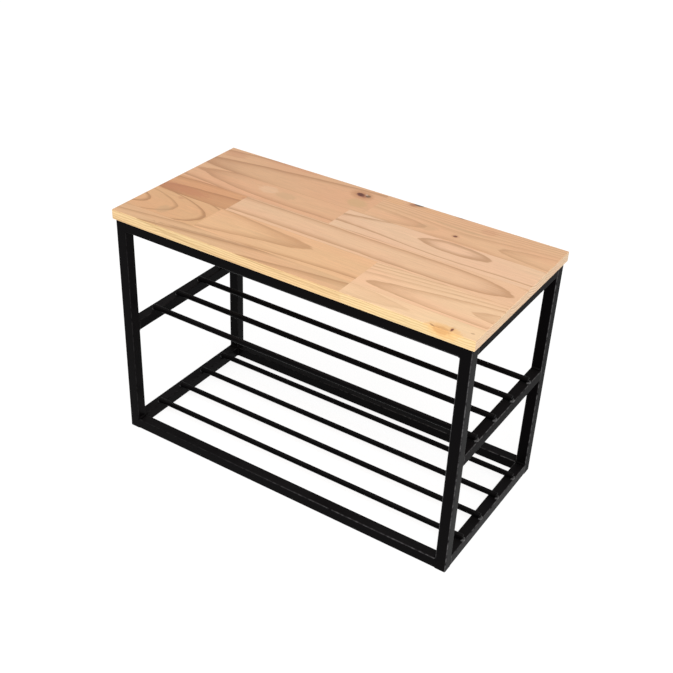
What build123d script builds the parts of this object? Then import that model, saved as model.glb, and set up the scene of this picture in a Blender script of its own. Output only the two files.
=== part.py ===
from build123d import *
import os

# Entryway bench: a welded square-tube steel frame, two shelves of round rod and a glued pine seat.
#
# Millimetres, +Z up. The origin is on the floor under the middle of the bench. +X runs along the
# bench's length and +Y runs towards its back.

os.makedirs("parts", exist_ok=True)

# ---- Driving dimensions ---------------------------------------------------------------------

seat_length = 680.0
seat_depth = 332.0
seat_height = 450.0         # floor to the seat's top face
seat_thickness = 18.0
seat_edge_radius = 1.5
seat_overhang = 4.0         # how far the seat stands out past the frame, all round

tube_size = 20.0            # outside width of the square tube
tube_wall = 1.2
tube_corner = 2.0           # outside corner radius of the tube

shelf_height = 228.0        # floor to the top face of the end rails that carry the middle shelf

rod_diameter = 10.0
rod_count = 4
rod_pitch = 64.0
rod_right_gap = 4.0         # from the rods' right ends to the right end rails' outer faces
rod_left_gap = 15.0         # from their left ends to the left end rails' outer faces

# Widths of the glued staves, from the front edge to the back edge, and the places along each
# stave where its blocks are finger-jointed end to end.
stave_rows = [
    ("front", 34.0, [114.0]),
    ("inner_front", 80.0, [-192.0, 114.0]),
    ("middle", 63.0, [-187.0]),
    ("inner_back", 66.0, [-20.0]),
    ("back", 89.0, [6.0]),
]
finger_length = 6.0
finger_count = 4            # fingers over the seat's thickness

screw_length = 35.0         # under the head
screw_diameter = 4.0
screw_head_diameter = 8.0
screw_head_height = 2.8
screw_head_rim = 1.0        # straight part of the head's side
screw_head_crown_radius = 5.4
screw_tip_length = 4.0
screw_x = 230.0             # from the middle of the bench to the screws in the long rails
recess_depth = 1.6
recess_width = 4.4
recess_slot = 1.0
pilot_clearance = 0.05
rail_hole_diameter = 4.5

plug_length = 14.0
plug_floor = 2.5            # thickness of the plug's closed end
plug_wall = 1.5
plug_clearance = 0.1        # between the plug's ribs and the inside of the tube
plug_rib_height = 0.6
plug_rib_width = 1.2
plug_rib_count = 3

weld_leg = 3.5              # leg length of the fillet welds
rod_weld_radius = 3.8

# ---- Worked out from the driving dimensions -------------------------------------------------

frame_length = seat_length - 2 * seat_overhang
frame_depth = seat_depth - 2 * seat_overhang
frame_height = seat_height - seat_thickness

leg_x = (frame_length - tube_size) / 2
leg_y = (frame_depth - tube_size) / 2
long_rail = frame_length - 2 * tube_size
end_rail = frame_depth - 2 * tube_size
bore_size = tube_size - 2 * tube_wall
bore_corner = tube_corner - tube_wall

bottom_z = tube_size / 2
shelf_z = shelf_height - tube_size / 2
top_z = frame_height - tube_size / 2

ends = {"left": -1, "right": 1}
sides = {"front": -1, "back": 1}


def save(piece, name):
    """Label a finished sub-part and write it as one STEP file."""
    piece.part.label = name
    export_step(piece.part, f"parts/{name}.step")


def tube_section():
    """The hollow square section that every leg and rail is cut from."""
    RectangleRounded(tube_size, tube_size, tube_corner)
    RectangleRounded(bore_size, bore_size, bore_corner, mode=Mode.SUBTRACT)


# ---- Screw places ---------------------------------------------------------------------------

long_rail_screws = [(sx * screw_x, sy * leg_y) for sy in (-1, 1) for sx in (-1, 1)]
end_rail_screws = [(sx * leg_x, 0.0) for sx in (-1, 1)]
screw_places = long_rail_screws + end_rail_screws

# ---- Legs and the plugs that close their lower ends -----------------------------------------

for side, sy in sides.items():
    for end, sx in ends.items():
        foot = Plane(origin=(sx * leg_x, sy * leg_y, 0))

        with BuildPart() as leg:
            with BuildSketch(foot):
                tube_section()
            extrude(amount=frame_height)
        save(leg, f"{side}_{end}_leg")

        plug_size = bore_size - 2 * plug_clearance
        core_size = plug_size - 2 * plug_rib_height
        rib_pitch = plug_length / (plug_rib_count + 1)
        with BuildPart() as plug:
            with BuildSketch(foot):
                RectangleRounded(plug_size, plug_size, bore_corner)
            extrude(amount=plug_floor)
            with BuildSketch(foot.offset(plug_floor)):
                Rectangle(core_size, core_size)
            extrude(amount=plug_length - plug_floor)
            for rib in range(1, plug_rib_count + 1):
                with BuildSketch(foot.offset(rib * rib_pitch)):
                    RectangleRounded(plug_size, plug_size, bore_corner)
                extrude(amount=plug_rib_width)
            with BuildSketch(foot.offset(plug_floor)):
                Rectangle(core_size - 2 * plug_wall, core_size - 2 * plug_wall)
            extrude(amount=plug_length, mode=Mode.SUBTRACT)
        save(plug, f"{side}_{end}_leg_plug")

# ---- Long rails, between the legs at the front and the back ---------------------------------

for side, sy in sides.items():
    for level, z in (("top", top_z), ("bottom", bottom_z)):
        start = Plane(origin=(-long_rail / 2, sy * leg_y, z), x_dir=(0, 1, 0), z_dir=(1, 0, 0))
        with BuildPart() as rail:
            with BuildSketch(start):
                tube_section()
            extrude(amount=long_rail)
            if level == "top":
                with Locations(*[(x, y, frame_height) for x, y in long_rail_screws if y * sy > 0]):
                    Hole(radius=rail_hole_diameter / 2)
        save(rail, f"{side}_{level}_rail")

# ---- End rails, between the front and back legs at each end ---------------------------------

for end, sx in ends.items():
    for level, z in (("top", top_z), ("shelf", shelf_z), ("bottom", bottom_z)):
        start = Plane(origin=(sx * leg_x, -end_rail / 2, z), x_dir=(-1, 0, 0), z_dir=(0, 1, 0))
        with BuildPart() as rail:
            with BuildSketch(start):
                tube_section()
            extrude(amount=end_rail)
            if level == "top":
                with Locations(*[(x, y, frame_height) for x, y in end_rail_screws if x * sx > 0]):
                    Hole(radius=rail_hole_diameter / 2)
        save(rail, f"{end}_{level}_rail")

# ---- Shelf rods, lying across the end rails -------------------------------------------------

rod_start = rod_left_gap - frame_length / 2
rod_end = frame_length / 2 - rod_right_gap
rod_rows = [(number - (rod_count - 1) / 2) * rod_pitch for number in range(rod_count)]

for shelf, rail_top in (("middle", shelf_height), ("bottom", tube_size)):
    for number, y in enumerate(rod_rows, start=1):
        axis_z = rail_top + rod_diameter / 2
        with BuildPart() as rod:
            with BuildSketch(Plane(origin=(rod_start, y, axis_z), z_dir=(1, 0, 0))):
                Circle(rod_diameter / 2)
            extrude(amount=rod_end - rod_start)
            chamfer(rod.edges().filter_by(GeomType.CIRCLE), length=0.4)
        save(rod, f"{shelf}_shelf_rod_{number}")

# ---- Welds at the rod ends: a rounded bead between each rod's end and the rail --------------

with BuildPart() as rod_welds:
    for rail_top in (shelf_height, tube_size):
        bead_places = [(rod_end, y, rail_top) for y in rod_rows]
        with Locations(*bead_places):
            Sphere(rod_weld_radius, arc_size1=0, align=(Align.CENTER, Align.CENTER, Align.MIN))
    split(bisect_by=Plane.YZ.offset(rod_end), keep=Keep.TOP)
    mirror(about=Plane.YZ.offset((rod_start + rod_end) / 2))
save(rod_welds, "rod_welds")

# ---- Welds between rails and legs -----------------------------------------------------------
# Drawn at the front right leg and mirrored to the other three.

leg_inner_x = frame_length / 2 - tube_size
leg_inner_y = -(frame_depth / 2 - tube_size)
leg_outer_x = frame_length / 2
leg_outer_y = -frame_depth / 2
flat_length = tube_size - 2 * tube_corner


def weld_triangle(across, up):
    """The section of a fillet weld in the corner at the sketch's origin."""
    Polygon((0, 0), (across * weld_leg, 0), (0, up * weld_leg), align=None)


def groove_section(x, y, into_x, into_y):
    """The gap that a leg's rounded edge leaves beside a rail end, filled flush."""
    with Locations((x + into_x * tube_corner / 2, y + into_y * tube_corner / 2)):
        Rectangle(tube_corner, tube_corner)
    with Locations((x + into_x * tube_corner, y + into_y * tube_corner)):
        Circle(tube_corner, mode=Mode.SUBTRACT)


with BuildPart() as frame_welds:
    # Fillets across the long rails, against the leg's inner face.
    for z, up in ((tube_size, 1), (frame_height - tube_size, -1)):
        bead_start = (leg_inner_x, leg_inner_y - tube_corner, z)
        with BuildSketch(Plane(origin=bead_start, x_dir=(1, 0, 0), z_dir=(0, -1, 0))):
            weld_triangle(-1, up)
        extrude(amount=flat_length)
    # Fillets across the end rails, against the leg's back face.
    end_rail_faces = (
        (tube_size, 1),
        (shelf_height - tube_size, -1),
        (shelf_height, 1),
        (frame_height - tube_size, -1),
    )
    for z, up in end_rail_faces:
        bead_start = (leg_inner_x + tube_corner, leg_inner_y, z)
        with BuildSketch(Plane(origin=bead_start, x_dir=(0, 1, 0), z_dir=(1, 0, 0))):
            weld_triangle(1, up)
        extrude(amount=flat_length)
    # Upright fillets in the inner corner where a long rail and an end rail meet.
    for z in (bottom_z, top_z):
        with BuildSketch(Plane(origin=(leg_inner_x, leg_inner_y, z - flat_length / 2))):
            weld_triangle(-1, 1)
        extrude(amount=flat_length)
    # Grooves beside the leg's rounded edges, ground flush with the tube.
    for z in (bottom_z, top_z):
        with BuildSketch(Plane.XY.offset(z - flat_length / 2)):
            groove_section(leg_inner_x, leg_outer_y, 1, 1)
            groove_section(leg_outer_x, leg_inner_y, -1, -1)
        extrude(amount=flat_length)
    with BuildSketch(Plane.XY.offset(shelf_z - flat_length / 2)):
        groove_section(leg_inner_x, leg_inner_y, 1, -1)
        groove_section(leg_outer_x, leg_inner_y, -1, -1)
    extrude(amount=flat_length)
    mirror(about=Plane.XZ)
    mirror(about=Plane.YZ)
save(frame_welds, "frame_welds")

# ---- Screws that hold the seat, up through the top rails ------------------------------------

with BuildPart() as screw:
    with BuildSketch(Plane.XZ):
        with BuildLine():
            head_rim = (screw_head_diameter / 2, 0)
            head_edge = (screw_head_diameter / 2, -screw_head_rim)
            head_crown = (0, -screw_head_height)
            shank_root = (screw_diameter / 2, 0)
            shank_end = (screw_diameter / 2, screw_length - screw_tip_length)
            tip = (0, screw_length)
            Polyline(head_crown, tip, shank_end, shank_root, head_rim, head_edge)
            RadiusArc(head_edge, head_crown, screw_head_crown_radius)
        make_face()
    revolve(axis=Axis.Z)
    with BuildSketch(Plane.XY.offset(-screw_head_height)):
        Rectangle(recess_width, recess_slot)
        Rectangle(recess_slot, recess_width)
    extrude(amount=recess_depth, mode=Mode.SUBTRACT)

with BuildPart() as seat_screws:
    with Locations(*[(x, y, frame_height - tube_size) for x, y in screw_places]):
        add(screw.part)
save(seat_screws, "seat_screws")

# ---- Seat: staves glued edge to edge, each finger-jointed from blocks -----------------------

with BuildPart() as seat_blank:
    with BuildSketch(Plane.XY.offset(frame_height)):
        Rectangle(seat_length, seat_depth)
    extrude(amount=seat_thickness)
    fillet(seat_blank.edges(), radius=seat_edge_radius)


def finger_line(x):
    """Points down one finger joint, from the seat's top face to its underside."""
    steps = 2 * finger_count
    reach = finger_length / 2
    return [
        (x + (reach if step % 2 else -reach), seat_height - step * seat_thickness / steps)
        for step in range(steps + 1)
    ]


def square_end(x):
    """Points down a block's outer end, where the seat's own edge bounds it."""
    return [(x, seat_height), (x, frame_height)]


def block_names(row, count):
    """Names of the blocks of one stave, from left to right."""
    places = ["left", "right"] if count == 2 else ["left", "centre", "right"]
    return [f"{row}_stave_{place}" for place in places]


pilot_depth = screw_length - tube_size + 1
row_front = -seat_depth / 2
for row, width, joints in stave_rows:
    row_back = row_front + width
    boundaries = [square_end(-seat_length / 2)]
    boundaries += [finger_line(x) for x in joints]
    boundaries += [square_end(seat_length / 2)]
    names = block_names(row, len(joints) + 1)
    for name, left, right in zip(names, boundaries, boundaries[1:]):
        with BuildPart() as block:
            add(seat_blank.part)
            with BuildSketch(Plane.XZ.offset(-row_back)):
                with BuildLine():
                    Polyline(*left, *reversed(right), close=True)
                make_face()
            extrude(amount=width, mode=Mode.INTERSECT)
            with Locations(*[(x, y, frame_height) for x, y in screw_places]):
                Cylinder(
                    radius=screw_diameter / 2 + pilot_clearance,
                    height=pilot_depth,
                    align=(Align.CENTER, Align.CENTER, Align.MIN),
                    mode=Mode.SUBTRACT,
                )
        save(block, name)
    row_front = row_back
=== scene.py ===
"""Entryway bench: a glued pine seat on a welded, powder-coated frame of square steel tube.

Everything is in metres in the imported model's frame: +X along the bench, +Y towards its back,
+Z up, with the floor at zero. Sizes inside the wood and paint patterns are in millimetres.
"""

import logging
import math
from dataclasses import dataclass, field
from enum import Enum
from typing import Iterable, Sequence, Union

import bmesh
import bpy
from mathutils import Matrix, Vector


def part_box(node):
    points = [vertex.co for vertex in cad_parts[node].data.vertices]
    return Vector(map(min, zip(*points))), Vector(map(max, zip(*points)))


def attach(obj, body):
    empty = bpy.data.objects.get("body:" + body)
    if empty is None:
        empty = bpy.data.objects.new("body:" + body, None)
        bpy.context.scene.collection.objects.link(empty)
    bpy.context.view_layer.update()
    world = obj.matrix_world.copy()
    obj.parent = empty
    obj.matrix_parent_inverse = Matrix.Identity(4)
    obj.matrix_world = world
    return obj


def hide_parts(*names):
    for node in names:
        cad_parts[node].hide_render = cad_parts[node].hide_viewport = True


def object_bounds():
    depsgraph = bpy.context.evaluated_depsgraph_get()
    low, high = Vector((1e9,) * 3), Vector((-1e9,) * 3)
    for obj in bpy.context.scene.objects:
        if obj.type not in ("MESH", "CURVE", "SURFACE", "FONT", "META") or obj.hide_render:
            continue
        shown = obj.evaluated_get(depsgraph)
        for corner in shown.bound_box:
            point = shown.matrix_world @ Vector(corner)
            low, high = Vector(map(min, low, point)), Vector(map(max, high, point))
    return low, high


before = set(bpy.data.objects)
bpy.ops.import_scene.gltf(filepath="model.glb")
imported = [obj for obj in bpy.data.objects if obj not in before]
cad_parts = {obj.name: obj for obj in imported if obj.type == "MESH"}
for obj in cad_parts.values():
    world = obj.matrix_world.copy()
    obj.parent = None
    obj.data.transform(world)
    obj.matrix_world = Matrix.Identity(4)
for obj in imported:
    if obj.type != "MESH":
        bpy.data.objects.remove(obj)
cad_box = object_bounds()

MM = 0.001
PER_MM = 1000.0

Number = Union[float, int]
Term = Union[bpy.types.NodeSocket, float]
Colour = tuple[float, float, float]
Size = tuple[float, float, float]
Span = tuple[float, float]

log = logging.getLogger("entryway_bench")


class Body(Enum):
    """The rigid bodies of the bench."""

    ROOT = "root"


class Slot(Enum):
    """The record's material slots."""

    PINE = "pine"
    FRAME_PAINT = "frame_paint"
    SCREW_ZINC = "screw_zinc"
    PLUG_PLASTIC = "plug_plastic"


# ---- Shader maths ----


class Wire:
    """A shader socket that takes part in Python arithmetic, one Math node for each operator."""

    def __init__(self, graph: "Graph", socket: bpy.types.NodeSocket) -> None:
        """Wraps one output socket of a graph."""
        self.graph = graph
        self.socket = socket

    def _maths(self, operation: str, first: "Value", second: "Value") -> "Wire":
        """Returns the result of a Math node on two values."""
        settings = {"operation": operation}
        return self.graph.add("ShaderNodeMath", settings, {0: first, 1: second})

    def __add__(self, other: "Value") -> "Wire":
        """Returns this value plus another."""
        return self._maths("ADD", self, other)

    __radd__ = __add__

    def __mul__(self, other: "Value") -> "Wire":
        """Returns this value times another."""
        return self._maths("MULTIPLY", self, other)

    __rmul__ = __mul__

    def __sub__(self, other: "Value") -> "Wire":
        """Returns this value less another."""
        return self._maths("SUBTRACT", self, other)

    def __rsub__(self, other: "Value") -> "Wire":
        """Returns another value less this one."""
        return self._maths("SUBTRACT", other, self)

    def __neg__(self) -> "Wire":
        """Returns this value with its sign turned."""
        return self * -1.0

    def __abs__(self) -> "Wire":
        """Returns the size of this value."""
        return self._maths("ABSOLUTE", self, 0.0)

    def least(self, other: "Value") -> "Wire":
        """Returns the smaller of two values."""
        return self._maths("MINIMUM", self, other)

    def most(self, other: "Value") -> "Wire":
        """Returns the larger of two values."""
        return self._maths("MAXIMUM", self, other)

    def floor(self) -> "Wire":
        """Returns the whole number below this value."""
        return self._maths("FLOOR", self, 0.0)

    def root(self) -> "Wire":
        """Returns the square root of this value."""
        return self._maths("SQRT", self, 0.0)

    def bell(self, width: float) -> "Wire":
        """Returns 1 where this value is zero, falling smoothly to nothing over a width."""
        scaled = self * (1.0 / width)
        return self._maths("EXPONENT", -(scaled * scaled), 0.0)

    def step(self, start: float, end: float) -> "Wire":
        """Makes a smooth step of this value.

        Args:
            start: Where the step is 0.
            end: Where the step is 1, above or below the start.

        Returns:
            The step, from 0 to 1.
        """
        settings = {"interpolation_type": "SMOOTHSTEP", "clamp": True}
        span = {1: min(start, end), 2: max(start, end)}
        levels = {3: float(start > end), 4: float(start < end)}
        return self.graph.add("ShaderNodeMapRange", settings, {0: self, **span, **levels})

    def beside(self, name: str) -> "Wire":
        """Returns another output of the node that this socket belongs to."""
        return Wire(self.graph, self.socket.node.outputs[name])


Value = Union[Wire, Number, Sequence[float]]
Point = tuple[Wire, Wire, Wire]


def new_node(tree: bpy.types.NodeTree, kind: str, settings: dict, values: dict) -> bpy.types.Node:
    """Adds one node to a tree.

    Args:
        tree: The tree.
        kind: The node's type name.
        settings: Properties of the node.
        values: What each input socket gets, a value or another socket, by name or index.

    Returns:
        The node.
    """
    node = tree.nodes.new(kind)
    for key, value in settings.items():
        setattr(node, key, value)
    for key, value in values.items():
        if isinstance(value, bpy.types.NodeSocket):
            tree.links.new(value, node.inputs[key])
        else:
            node.inputs[key].default_value = value
    return node


class Graph:
    """The node graph of one material."""

    def __init__(self, name: str) -> None:
        """Starts an empty material.

        Args:
            name: The material's name.
        """
        self.material = bpy.data.materials.new(name)
        self.material.use_nodes = True
        self.tree = self.material.node_tree
        self.tree.nodes.clear()

    def add(self, kind: str, settings: dict, values: dict, output: Union[int, str] = 0) -> Wire:
        """Adds one node.

        Args:
            kind: The node's type name.
            settings: Properties of the node.
            values: What each input socket gets, a number, a colour or a wire, by name or index.
            output: The output socket to return, by name or index.

        Returns:
            The chosen output as a wire.
        """
        plain = {key: v.socket if isinstance(v, Wire) else v for key, v in values.items()}
        return Wire(self, new_node(self.tree, kind, settings, plain).outputs[output])

    def place(self) -> Wire:
        """Returns the point on the piece, in millimetres."""
        metres = self.add("ShaderNodeTexCoord", {}, {}, "Object")
        return self.add("ShaderNodeVectorMath", {"operation": "SCALE"}, {0: metres, 3: PER_MM})

    def facing(self) -> Wire:
        """Returns the surface's own direction."""
        return self.add("ShaderNodeNewGeometry", {}, {}, "Normal")

    def split(self, vector: Wire) -> Point:
        """Returns a vector's three parts."""
        first = self.add("ShaderNodeSeparateXYZ", {}, {0: vector}, "X")
        return first, first.beside("Y"), first.beside("Z")

    def join(self, x: Value, y: Value, z: Value) -> Wire:
        """Returns a vector made from three values."""
        return self.add("ShaderNodeCombineXYZ", {}, {0: x, 1: y, 2: z})

    def stretched(self, vector: Wire, size: Size, shift: float = 0.0) -> Wire:
        """Scales and moves a vector for a pattern to read.

        Args:
            vector: The vector.
            size: The pattern's size along each axis.
            shift: How far the pattern is moved, as a count of its sizes.

        Returns:
            The vector, divided by the size and moved.
        """
        scale = tuple(1.0 / length for length in size)
        settings = {"operation": "MULTIPLY_ADD"}
        return self.add("ShaderNodeVectorMath", settings, {0: vector, 1: scale, 2: (shift,) * 3})

    def noise(
        self,
        place: Wire,
        size: Size,
        seed: float = 0.0,
        detail: float = 2.0,
        roughness: float = 0.5,
    ) -> Wire:
        """Makes soft noise.

        Args:
            place: Where the noise is read.
            size: The size of its cells along each axis.
            seed: How far it is moved, so that two noises differ.
            detail: How many finer layers it has.
            roughness: How strong the finer layers are.

        Returns:
            The noise, about zero, roughly from -0.5 to 0.5.
        """
        vector = self.stretched(place, size, seed)
        values = {"Vector": vector, "Scale": 1.0, "Detail": detail, "Roughness": roughness}
        return self.add("ShaderNodeTexNoise", {}, values) - 0.5

    def chance(self, value: Wire, seed: float) -> Wire:
        """Returns a random number from 0 to 1 that stays the same for the same value."""
        values = {"Vector": self.join(value, seed, 0.0)}
        return self.add("ShaderNodeTexWhiteNoise", {"noise_dimensions": "2D"}, values)

    def mix(self, share: Value, first: Value, second: Value, blend: str = "MIX") -> Wire:
        """Mixes two colours.

        Args:
            share: The share of the second colour.
            first: The first colour.
            second: The second colour.
            blend: How the second is laid over the first.

        Returns:
            The mixed colour.
        """
        settings = {"data_type": "RGBA", "blend_type": blend, "clamp_factor": True}
        colours = [c if isinstance(c, Wire) else (*c, 1.0) for c in (first, second)]
        return self.add("ShaderNodeMix", settings, {0: share, 6: colours[0], 7: colours[1]}, 2)

    def bump(self, height: Wire, depth_mm: float, strength: float = 1.0) -> Wire:
        """Returns normals for a relief of a given depth."""
        values = {"Height": height, "Distance": depth_mm * MM, "Strength": strength}
        return self.add("ShaderNodeBump", {}, values)

    def finish(self, **sockets: Value) -> bpy.types.Material:
        """Adds the surface shader.

        Args:
            **sockets: The shader's socket values, with _ for each blank in a socket's name.

        Returns:
            The finished material.
        """
        values = {name.replace("_", " "): value for name, value in sockets.items()}
        surface = self.add("ShaderNodeBsdfPrincipled", {}, values)
        self.add_output(surface)
        return self.material

    def add_output(self, surface: Wire) -> None:
        """Links a surface to the material's output."""
        node = self.tree.nodes.new("ShaderNodeOutputMaterial")
        self.tree.links.new(surface.socket, node.inputs["Surface"])


# ---- Pine ----


@dataclass(frozen=True)
class Swirl:
    """A place along a block where the rings lie deeper, or shallower if the height is negative."""

    x: float
    length: float
    height: float


@dataclass(frozen=True)
class Mark:
    """A knot, stain or light patch on the seat, in millimetres, with its grain bent round it."""

    x: float
    y: float
    length: float
    width: float
    strength: float
    colour: Colour = (0.170, 0.045, 0.020)
    halo: float = 0.0
    push: float = 0.0
    turn: float = 0.0


@dataclass(frozen=True)
class BlockGrain:
    """How one block was sawn from its tree, in millimetres.

    The tree's middle line runs along the block at pith_y, below the top face by depth, where x is
    start_x. One ring ends at the radius edge, and its late wood begins at the share late_from.
    """

    start_x: float
    pith_y: float
    depth: float
    ring: float
    edge: float
    rise: float = 0.0
    bend: float = 0.0
    skew: float = 0.0
    bow: float = 0.0
    late_from: float = 0.35
    contrast: float = 1.0
    tint: Colour = (1.0, 1.0, 1.0)
    swirls: tuple[Swirl, ...] = ()
    marks: tuple[Mark, ...] = ()


@dataclass(frozen=True)
class PineFinish:
    """Satin-lacquered pine: pale early wood, tan late wood, fibre streaks and resin flecks."""

    early: Colour = (0.735, 0.462, 0.270)
    blush: Colour = (0.760, 0.445, 0.262)
    late: Colour = (0.500, 0.265, 0.130)
    halo: Colour = (0.420, 0.170, 0.060)
    # Gains that make the upright faces paler: partly the sawn edges' own tone, partly painted light
    # standing in for the floor's bounce onto the front edges and end faces.
    side_tone_and_light: Colour = (1.05, 1.22, 1.06)
    end_tone_and_light: Colour = (1.00, 1.14, 1.23)
    edge_evenness: float = 0.8
    glue_gain: Colour = (0.66, 0.56, 0.46)
    glue_share: float = 0.6
    glue_span: Span = (0.34, 0.12)
    face_height: float = 450.0
    upright_span: Span = (0.85, 0.55)
    end_span: Span = (0.6, 0.3)
    mark_span: Span = (1.1, 0.65)
    halo_span: Span = (2.4, 0.9)
    mark_fade: float = 1.4
    push_reach: float = 2.4
    fine_ring: float = 4.2
    fine_late_from: float = 0.30
    wander_size: Size = (150.0, 45.0, 45.0)
    ripple_size: Size = (34.0, 8.0, 8.0)
    fibre_size: Size = (55.0, 1.3, 1.3)
    hair_size: Size = (16.0, 0.35, 0.35)
    fleck_size: Size = (9.0, 0.5, 0.5)
    blush_size: Size = (190.0, 48.0, 48.0)
    crackle_size: Size = (7.0, 2.6, 2.6)
    roughness: float = 0.46
    relief: float = 0.10
    coat: float = 0.15
    coat_roughness: float = 0.32
    shine: float = 0.30

    def material(
        self, name: str, grain: BlockGrain, low: Vector, high: Vector
    ) -> bpy.types.Material:
        """Makes the material of one block.

        Args:
            name: The material's name.
            grain: How the block was sawn.
            low: The block's lowest corner, in metres.
            high: The block's highest corner, in metres.

        Returns:
            The material.
        """
        g = Graph(name)
        place = g.place()
        at = _, y, z = g.split(place)
        seed = grain.edge * 0.37 + grain.start_x * 0.01

        wander = g.noise(place, self.wander_size, seed)
        ripple = g.noise(place, self.ripple_size, seed)
        radius = self._radius(grain, at)
        rings = (radius - grain.edge) * (1.0 / grain.ring) + 100.0
        rings = rings + wander * 0.24 + ripple * (1.0 / grain.ring)
        index = rings.floor()
        late = self._late(rings - index, grain.late_from)
        strong = g.chance(index, seed) * 0.4 + 0.7
        _, facing_y, facing_z = g.split(g.facing())
        upright = abs(facing_z).step(*self.upright_span)
        end_grain = upright * abs(facing_y).step(*self.end_span)
        sawn_edge = upright - end_grain
        layer = radius + sawn_edge * (z + y * 0.3 - radius)
        fine = layer * (1.0 / self.fine_ring) + ripple * 0.9 + wander * 2.0
        fine = self._late(fine - fine.floor(), self.fine_late_from)

        fibre = g.noise(place, self.fibre_size, seed, 3.0, 0.6)
        hair = g.noise(place, self.hair_size, seed)
        fleck = g.noise(place, self.fleck_size, seed + 5.0, 1.0).step(0.17, 0.26)
        blush = g.noise(place, self.blush_size, seed + 9.0, 1.0)

        colours = (self.early, self.blush, self.late)
        early, pink, dark = (self._tinted(colour, grain.tint) for colour in colours)
        base = g.mix(blush.step(-0.2, 0.25), early, pink)
        share = late * strong * grain.contrast * (1.0 - upright * 0.5)
        share = share + fine * (sawn_edge * 0.75 + end_grain * 0.80 + 0.07)
        wood = g.mix(share, base, dark)
        streak = fibre * 0.42 + hair * 0.22 + 1.0 - fleck * 0.12
        wood = g.mix(1.0, wood, g.join(streak, streak, streak), "MULTIPLY")
        # Upright faces are made paler: partly the sawn edges' own tone, partly painted light for
        # the floor's bounce onto the front edges and end faces.
        evened = tuple(gain**-self.edge_evenness for gain in grain.tint)
        side = g.mix(1.0, wood, self._tinted(self.side_tone_and_light, evened), "MULTIPLY")
        end = g.mix(1.0, wood, self._tinted(self.end_tone_and_light, evened), "MULTIPLY")
        wood = g.mix(upright, wood, g.mix(end_grain, side, end))
        glued = g.mix(1.0, wood, self.glue_gain, "MULTIPLY")
        wood = g.mix(self._glue(y, low, high), wood, glued)
        crackle = g.noise(place, self.crackle_size, seed + 3.0, 3.0, 0.6)
        for mark in grain.marks:
            distance = self._from_mark(mark, at) + crackle * 1.1
            wood = self._marked(g, wood, mark, distance)

        height = late * 0.6 + fibre * 0.8 + hair * 0.5
        rough = fibre * 0.16 + end_grain * 0.12 - late * 0.05 + self.roughness
        return g.finish(
            Base_Color=wood,
            Roughness=rough,
            Normal=g.bump(height, self.relief),
            Coat_Weight=self.coat,
            Coat_Roughness=self.coat_roughness,
            Specular_IOR_Level=self.shine,
        )

    @staticmethod
    def _tinted(colour: Colour, tint: Colour) -> Colour:
        """Returns a colour multiplied by a tint."""
        return tuple(part * gain for part, gain in zip(colour, tint))

    @staticmethod
    def _late(through: Wire, begin: float) -> Wire:
        """Shapes the late wood of one ring.

        Args:
            through: The share of the ring that lies inside.
            begin: Where in the ring the late wood begins.

        Returns:
            How much late wood there is.
        """
        body = through.step(begin, 0.93) * 0.64
        line = through.step(max(begin, 0.80), 0.96) * 0.36
        return (body + line) * through.step(1.0, 0.965)

    def _radius(self, grain: BlockGrain, at: Point) -> Wire:
        """Measures from the tree's middle line, with swirls and marks worked in.

        Args:
            grain: How the block was sawn.
            at: The point on the seat.

        Returns:
            The distance, in millimetres.
        """
        x, y, z = at
        along = x - grain.start_x
        squared = along * along
        across = y - (along * grain.skew + squared * grain.bow + grain.pith_y)
        middle_height = grain.depth + self.face_height
        depth = along * grain.rise + squared * grain.bend + middle_height - z
        for swirl in grain.swirls:
            depth = depth + (x - swirl.x).bell(swirl.length) * swirl.height
        radius = (across * across + depth * depth).root()
        for mark in grain.marks:
            if mark.push:
                radius = radius + self._from_mark(mark, at).bell(self.push_reach) * mark.push
        return radius

    def _from_mark(self, mark: Mark, at: Point) -> Wire:
        """Measures from a mark's middle.

        Args:
            mark: The mark.
            at: The point on the seat.

        Returns:
            The distance, 1 at the mark's rim.
        """
        x, y, z = at
        cos, sin = math.cos(mark.turn), math.sin(mark.turn)
        dx, dy = x - mark.x, y - mark.y
        along = (dx * cos + dy * sin) * (2.0 / mark.length)
        across = (dy * cos - dx * sin) * (2.0 / mark.width)
        down = (z - self.face_height) * (self.mark_fade / mark.width)
        return (along * along + across * across + down * down).root()

    def _marked(self, g: Graph, wood: Wire, mark: Mark, distance: Wire) -> Wire:
        """Lays one mark and its halo into the wood.

        Args:
            g: The material's graph.
            wood: The wood's colour.
            mark: The mark.
            distance: The distance from its middle, 1 at its rim.

        Returns:
            The new colour.
        """
        if mark.halo:
            wood = g.mix(distance.step(*self.halo_span) * mark.halo, wood, self.halo)
        return g.mix(distance.step(*self.mark_span) * mark.strength, wood, mark.colour)

    def _glue(self, y: Wire, low: Vector, high: Vector) -> Wire:
        """Finds the glue lines beside the neighbouring staves.

        Args:
            y: Distance across the bench.
            low: The block's lowest corner, in metres.
            high: The block's highest corner, in metres.

        Returns:
            How strongly a glue line shows.
        """
        front, back = low.y * PER_MM, high.y * PER_MM
        edge = cad_box[1].y * PER_MM - 1.0
        gaps = [abs(y - line) for line in (front, back) if abs(line) < edge]
        gap = gaps[0].least(gaps[1]) if len(gaps) > 1 else gaps[0]
        return gap.step(*self.glue_span) * self.glue_share


# ---- Metal and plastic finishes ----


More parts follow.
